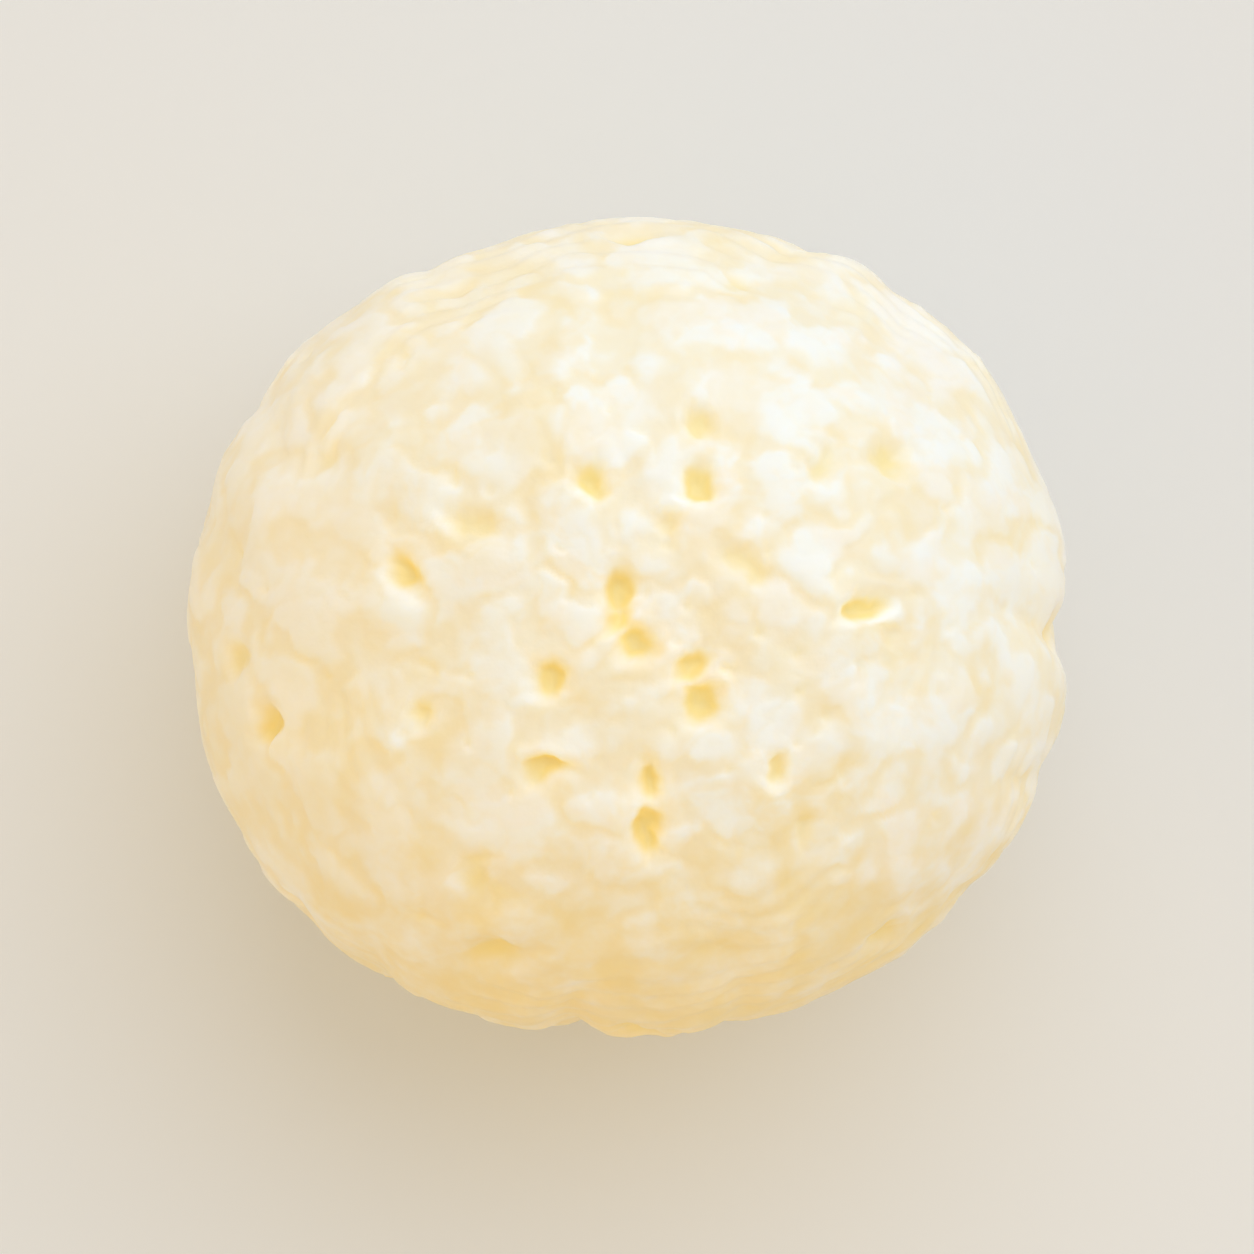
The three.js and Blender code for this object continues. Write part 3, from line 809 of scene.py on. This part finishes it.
def press_in(tree, skin, surface):
    """Moves each point in by its depth, which fades out towards the flat spot."""
    x, y, z = add(tree, SEPARATE, (skin["direction"],)).outputs
    from_foot = add(tree, VECTOR, (add(tree, COMBINE, (x, y, 0)),), operation="LENGTH")
    relief = (from_foot, RELIEF_STARTS, RELIEF_FULL)
    relief = add(tree, RANGE, relief, interpolation_type="SMOOTHSTEP")
    is_upper = add(tree, MATH, (z, 0), operation="GREATER_THAN")
    relief = add(tree, MATH, (relief, is_upper), operation="MAXIMUM")
    depth = add(tree, MATH, (skin["depth"], relief), operation="MULTIPLY")
    depth = add(tree, MATH, (depth, -1), operation="MULTIPLY")
    offset = add(tree, VECTOR, {"Vector": skin["direction"], "Scale": depth}, operation="SCALE")
    return add(tree, "GeometryNodeSetPosition", {"Geometry": surface, "Offset": offset})


def fit_to_box(tree, given, surface):
    """Scales the ball to its box, presses its foot flat and turns millimetres into metres."""
    found = add(tree, "GeometryNodeBoundBox", (surface,)).outputs
    high = add(tree, COMBINE, (given["Length"], given["Width"], 0))
    high = add(tree, VECTOR, {"Vector": high, "Scale": 0.5}, operation="SCALE")
    low = add(tree, VECTOR, {"Vector": high, "Scale": -1}, operation="SCALE")
    below = add(tree, MATH, (given["Pressed flat"], -1), operation="MULTIPLY")
    low = add(tree, VECTOR, (low, add(tree, COMBINE, (0, 0, below))), operation="ADD")
    high = add(tree, VECTOR, (high, add(tree, COMBINE, (0, 0, given["Height"]))), operation="ADD")
    place = add(tree, "GeometryNodeInputPosition")
    fitted = (place, found["Min"], found["Max"], low, high)
    fitted = add(tree, RANGE, fitted, data_type="FLOAT_VECTOR", clamp=False)
    x, y, z = add(tree, SEPARATE, (fitted,)).outputs
    z = add(tree, MATH, (z, 0), operation="MAXIMUM")
    fitted = add(tree, COMBINE, (x, y, z))
    fitted = add(tree, VECTOR, {"Vector": fitted, "Scale": MM}, operation="SCALE")
    return add(tree, "GeometryNodeSetPosition", {"Geometry": surface, "Position": fitted})


# The named inputs of the tree
SIZES = {
    "Length": LENGTH,
    "Width": WIDTH,
    "Height": HEIGHT,
    "Pressed flat": PRESSED_FLAT,
    "Fullness": FULLNESS,
    "Plan fullness": PLAN_FULLNESS,
    "Girdle lean": GIRDLE_LEAN,
    "Girdle drop": GIRDLE_DROP,
    "Girdle bend height": GIRDLE_BEND_HEIGHT,
    "Girdle depth": GIRDLE_DEPTH,
    "Girdle width": GIRDLE_WIDTH,
    "Girdle weak side": GIRDLE_WEAK_SIDE,
    "Girdle weakest": GIRDLE_WEAKEST,
    "Shoulder depth": SHOULDER_DEPTH,
    "Shoulder width": SHOULDER_WIDTH,
    "Shoulder rise": SHOULDER_RISE,
    "Shoulder side": SHOULDER_SIDE,
    "Pit raggedness": PIT_RAGGEDNESS,
    "Blister height": BLISTER_HEIGHT,
    "Crumple width": CRUMPLE_WIDTH,
    "Crumple on side": CRUMPLE_ON_SIDE,
    "Wrinkle height": WRINKLE_HEIGHT,
    "Pore spacing": PORE_SPACING,
    "Pore density": PORE_DENSITY,
    "Pore depth": PORE_DEPTH,
    "Pore width": PORE_WIDTH,
    "Pore glow": PORE_GLOW,
    "Crowding": CROWDING,
    "Grid": GRID,
    "Seed": SEED,
}


def puff_tree(material):
    """The tree that the ball is grown by, with its sizes as named inputs."""
    kinds = {float: "Float", int: "Int", Vector: "Vector"}
    sizes = {name: kinds[type(value)] for name, value in SIZES.items()}
    tree = new_tree("Puff grown from marks", {"Marks": "Geometry", **sizes}, {"Puff": "Geometry"})
    given = add(tree, "NodeGroupInput").outputs

    surface = cushion(tree, given, *blown_up_cube(tree, given))

    # What each point of the skin is known by, until it is pressed in
    place = add(tree, "GeometryNodeInputPosition")
    skin = {
        "place": place,
        "direction": add(tree, VECTOR, (place,), operation="NORMALIZE"),
        "radius": add(tree, VECTOR, (place,), operation="LENGTH"),
        "above": above_girdle(tree, given, place),
        "ragged place": add(tree, NAMED, ("ragged place",), data_type="FLOAT_VECTOR"),
        **{name: add(tree, NAMED, (name,)) for name in ("depth", "fold", "pit", "crumple", "ridge_highlight")},
        "fold profile": fold_profile_tree(),
    }
    surface = ragged(tree, given, skin, surface)
    presses = (
        (WAVE, press_wave),
        (LOBE, press_lobe),
        (CREASE, press_crease),
        (PIT, press_pit),
        (RIDGE, press_ridge),
    )
    for kind, press in presses:
        surface = for_each_mark(tree, skin, surface, given["Marks"], kind, press)
    for relief in (grooves, blisters, crumples, wrinkles, pores):
        surface = relief(tree, given, skin, surface)
    surface = press_in(tree, skin, surface)
    surface = fit_to_box(tree, given, surface)
    surface = add(tree, "GeometryNodeSetShadeSmooth", {"Geometry": surface})
    surface = add(tree, "GeometryNodeRealizeInstances", (surface,))
    surface = add(tree, "GeometryNodeSetMaterial", {"Geometry": surface, "Material": material})
    add(tree, "NodeGroupOutput", (surface,))
    return tree


def grow(tree, marks, name):
    """Runs the tree on the marks, and returns a plain mesh object of what grew."""
    carrier = bpy.data.objects.new("marks", marks)
    bpy.context.scene.collection.objects.link(carrier)
    modifier = carrier.modifiers.new("Grow", "NODES")
    modifier.node_group = tree
    for socket in tree.interface.items_tree:
        if socket.in_out == "INPUT" and socket.name in SIZES:
            modifier[socket.identifier] = SIZES[socket.name]
    depsgraph = bpy.context.evaluated_depsgraph_get()
    mesh = bpy.data.meshes.new_from_object(carrier.evaluated_get(depsgraph), depsgraph=depsgraph)
    carrier.modifiers.remove(modifier)
    bpy.data.objects.remove(carrier)
    mesh.name = name
    grown = bpy.data.objects.new(name, mesh)
    bpy.context.scene.collection.objects.link(grown)
    return grown


# ---- looks ----


def linear(hex_colour):
    """An sRGB hex colour, such as #fff0cc, as the linear colour that a shader takes.

    The numbers are those of the sRGB standard.
    """
    parts = [int(hex_colour[start : start + 2], 16) / 255 for start in (1, 3, 5)]
    return (*(p / 12.92 if p <= 0.04045 else ((p + 0.055) / 1.055) ** 2.4 for p in parts), 1)


def new_material(name):
    material = bpy.data.materials.new(name)
    material.use_nodes = True
    return material, material.node_tree, material.node_tree.nodes["Principled BSDF"]


def puffed_corn():
    """Dry puffed corn: a foam of tiny closed bubbles under a thin smooth skin.

    The eye gets a pale cream that is never one flat tone, painted honey yellow where light is caught in
    pits and folds and painted white in highlights on flecks and ridges, a little light through thin
    lips, and a soft sheen.
    """
    material, tree, shader = new_material("Puffed corn")
    place = add(tree, "ShaderNodeTexCoord").outputs["Object"]

    # Skin that puffed less is a little deeper in tone, in patches of a few millimetres, and the
    # bubbles just under it mottle the patches
    patches = add(tree, NOISE, (place, 1 / (PATCH_PITCH * MM), UNEVEN_NOISE))
    mottle = add(tree, NOISE, (place, 1 / (MOTTLE_PITCH * MM), BUSY_NOISE, BUSY_SHARE))
    tone = add(tree, MATH, (mottle, MOTTLE_SHARE, patches), operation="MULTIPLY_ADD")
    tone = add(tree, RANGE, (tone, CREAM_UP_TO, DEEPER_FROM))
    colour = add(tree, MIX, (tone, linear(CREAM), linear(DEEPER_CREAM)), data_type="RGBA")

    # Painted highlights: near-white flecks, small and ragged, most of all on the pitted face and to the
    # right of it, where the light catches the sheen of the foam
    flecks = {
        "Vector": place,
        "Scale": 1 / (FLECK_PITCH * MM),
        "Detail": BUSY_NOISE,
        "Roughness": BUSY_SHARE,
        "Distortion": FLECK_WARP,
    }
    flecks = add(tree, NOISE, flecks)
    towards = add(tree, VECTOR, (place, FLECK_SIDE), operation="DOT_PRODUCT")
    reaches = [reach * MM for reach in FLECK_REACHES]
    most = add(tree, RANGE, (towards, *reaches, *FLECK_SHARES))
    flecks = (flecks, FLECK_STARTS, FLECK_FULL, 0, most)
    flecks = add(tree, RANGE, flecks, interpolation_type="SMOOTHSTEP")
    colour = add(tree, MIX, (flecks, colour, linear(HIGHLIGHT_WHITE)), data_type="RGBA")

    # The side towards -y, the lower edge seen from above, is yellower, with a patchy edge: mostly
    # painted warm bounce light, partly the skin's own deeper tone
    towards = add(tree, VECTOR, (place, TONE_AND_BOUNCE_SIDE), operation="DOT_PRODUCT")
    towards = add(tree, MATH, (mottle, TONE_AND_BOUNCE_STRAY * MM, towards), operation="MULTIPLY_ADD")
    tone_and_bounce = (towards, TONE_AND_BOUNCE_FROM * MM, TONE_AND_BOUNCE_FULL * MM, 0, TONE_AND_BOUNCE_SHARE)
    tone_and_bounce = add(tree, RANGE, tone_and_bounce, interpolation_type="SMOOTHSTEP")
    colour = add(tree, MIX, (tone_and_bounce, colour, linear(FOLD_YELLOW)), data_type="RGBA")

    # Painted highlights make the ridges whiter still, and painted yellow light is caught in crumples,
    # folds and pits
    for name, starts, full, most, tint in TINTS:
        stored = add(tree, "ShaderNodeAttribute", (), attribute_name=name).outputs["Fac"]
        share = add(tree, RANGE, (stored, starts, full, 0, most), interpolation_type="SMOOTHSTEP")
        colour = add(tree, MIX, (share, colour, linear(tint)), data_type="RGBA")

    # The skin is smooth to the touch but not polished, and duller over the bubbles. Its finest
    # grain is drawn coarser than it is, so that it shows
    roughness = add(tree, RANGE, (mottle, MOTTLE_THIN, MOTTLE_THICK, GLOSSIEST, DULLEST))
    grain = add(tree, NOISE, (place, 1 / (GRAIN_PITCH * MM), UNEVEN_NOISE))
    bump = {"Strength": GRAIN_STRENGTH, "Distance": GRAIN_HEIGHT * MM, "Height": grain}
    shader.subsurface_method = "BURLEY"
    finish = {
        "Base Color": colour,
        "Roughness": roughness,
        "IOR": CORN_IOR,
        "Normal": add(tree, "ShaderNodeBump", bump),
        "Subsurface Weight": LIGHT_ENTERS,
        "Subsurface Radius": LIGHT_BY_COLOUR,
        "Subsurface Scale": LIGHT_TRAVELS * MM,
    }
    fill(tree, shader, finish)
    return material


def matt_white_board():
    """A matt painted board, a cool white that the warm light brings back to a pale neutral."""
    material, tree, shader = new_material("Matt white board")
    paint = {"Base Color": linear(BOARD_WHITE), "Roughness": BOARD_ROUGHNESS, "IOR": PAINT_IOR}
    fill(tree, shader, paint)
    return material


# ---- the studio ----


def floor_board():
    """A round board whose edge curls up all round, so that it shows no end from low down."""
    rings = []
    for step in range(COVE_STEPS + 1):
        share = step / COVE_STEPS
        rise = COVE_HEIGHT * (1 - math.cos(share * math.pi)) / 2
        rings.append((FLAT_TO + share * (COVE_TO - FLAT_TO), rise))
    sides = [level_direction(360 * side / BOARD_SIDES) for side in range(BOARD_SIDES)]
    corners = [side * radius + Vector((0, 0, rise)) for radius, rise in rings for side in sides]
    faces = [range(BOARD_SIDES)]
    for start in range(0, COVE_STEPS * BOARD_SIDES, BOARD_SIDES):
        for side in range(BOARD_SIDES):
            after = (side + 1) % BOARD_SIDES
            inner, outer = start, start + BOARD_SIDES
            faces.append((inner + side, outer + side, outer + after, inner + after))
    mesh = bpy.data.meshes.new("Floor")
    mesh.from_pydata(corners, [], faces)
    mesh.shade_smooth()
    mesh.materials.append(matt_white_board())
    floor = bpy.data.objects.new("Floor", mesh)
    bpy.context.scene.collection.objects.link(floor)


def soft_daylight():
    """A bright sky, a broad key light from the upper right and a weak warm fill from the left."""
    world = bpy.data.worlds.new("Soft daylight")
    world.use_nodes = True
    bpy.context.scene.world = world
    tree = world.node_tree
    way = add(tree, "ShaderNodeTexCoord").outputs["Generated"]
    height = add(tree, VECTOR, (way, SKY_LEAN), operation="DOT_PRODUCT")
    height = add(tree, RANGE, (height, 0, WARM_UP_TO), interpolation_type="SMOOTHSTEP")
    colour = (height, linear(SKY_WARM), linear(SKY_WHITE))
    colour = add(tree, MIX, colour, data_type="RGBA")
    strength = add(tree, RANGE, (height, 0, 1, LOW_SKY, HIGH_SKY))
    fill(tree, tree.nodes["Background"], {"Color": colour, "Strength": strength})
    for name, strength, spread, colour, way in LAMPS:
        sun = bpy.data.lights.new(name, "SUN")
        sun.energy = strength
        sun.angle = math.radians(spread)
        sun.color = linear(colour)[:3]
        lamp = bpy.data.objects.new(name, sun)
        lamp.rotation_euler = Vector(way).to_track_quat("Z", "Y").to_euler()
        bpy.context.scene.collection.objects.link(lamp)


def camera_above():
    """Looks straight down, as the photograph does, from far enough that the ball shows no lean."""
    camera = bpy.data.cameras.new("From above")
    camera.lens = camera.sensor_width * (CAMERA_AWAY - HEIGHT * MM / 2) / (FRAME_WIDTH * MM)
    camera.clip_start = NEAREST_SEEN
    holder = bpy.data.objects.new("From above", camera)
    holder.location = (0, 0, CAMERA_AWAY)
    bpy.context.scene.collection.objects.link(holder)
    bpy.context.scene.camera = holder


# ---- the ball and its scene ----

puff = grow(puff_tree(puffed_corn()), marks_mesh(), "puffed_ball")
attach(puff, "root")
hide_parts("puff")

floor_board()
soft_daylight()
camera_above()
bpy.context.scene.view_settings.view_transform = "Standard"
